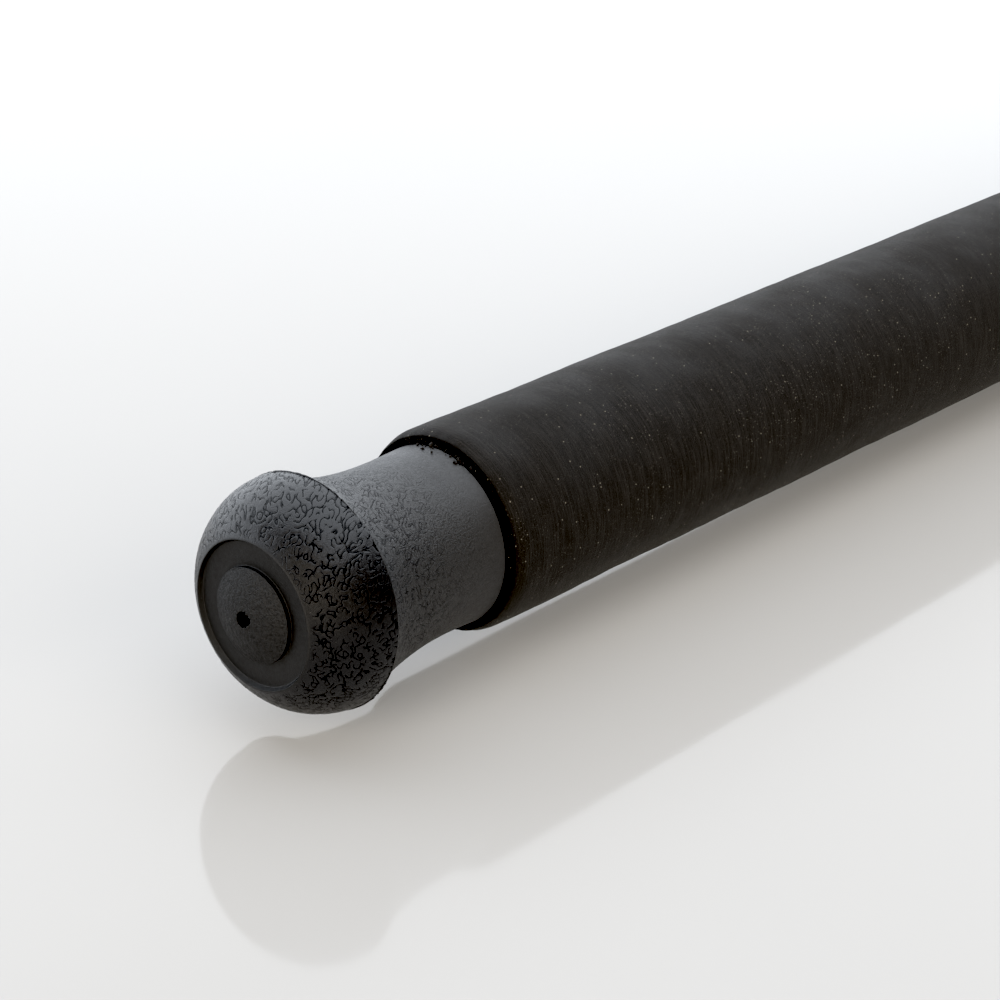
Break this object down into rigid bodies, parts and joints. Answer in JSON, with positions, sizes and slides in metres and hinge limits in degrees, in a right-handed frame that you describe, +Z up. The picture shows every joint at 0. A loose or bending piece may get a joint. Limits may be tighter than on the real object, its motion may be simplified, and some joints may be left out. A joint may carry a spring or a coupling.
{
  "type": "golf swing trainer stick",
  "caption": "Weighted golf swing trainer stick: a foam-covered barrel with a rubber knob cap, a stepped steel shaft and a tapered rubber grip.",
  "frame": {"origin": "under the middle of the stick, level with the lowest point of the knob", "axes": "+X along the stick from the knob to the grip's butt, +Z up with the stick lying level"},
  "size_m": [1.0154, 0.0468, 0.0468],
  "materials": {
    "cap_rubber": "satin",
    "eva_foam": "matte",
    "tube_aluminium": "satin",
    "nylon": "satin",
    "buffer_rubber": "matte",
    "weight_steel": "satin",
    "pin_steel": "satin",
    "shaft_steel": "polished",
    "collar_rubber": "satin",
    "ferrule_plastic": "gloss",
    "tape": "matte",
    "grip_rubber": "matte"
  },
  "bodies": {
    "root": {"end_cap": "cap_rubber", "foam_sleeve": "eva_foam", "barrel_tube": "tube_aluminium", "tube_plug": "nylon", "weight_buffer_1": "buffer_rubber", "weight_buffer_2": "buffer_rubber", "weight_buffer_3": "buffer_rubber", "weight_slug_1": "weight_steel", "weight_slug_2": "weight_steel", "weight_retainer": "nylon", "retainer_pin": "pin_steel", "shaft_pin": "pin_steel", "front_bushing": "nylon", "rear_bushing": "nylon", "shaft": "shaft_steel", "shaft_tip_plug": "nylon", "collar": "collar_rubber", "ferrule": "ferrule_plastic", "grip_tape": "tape", "grip": "grip_rubber", "grip_cap": "grip_rubber"}
  },
  "joints": []
}
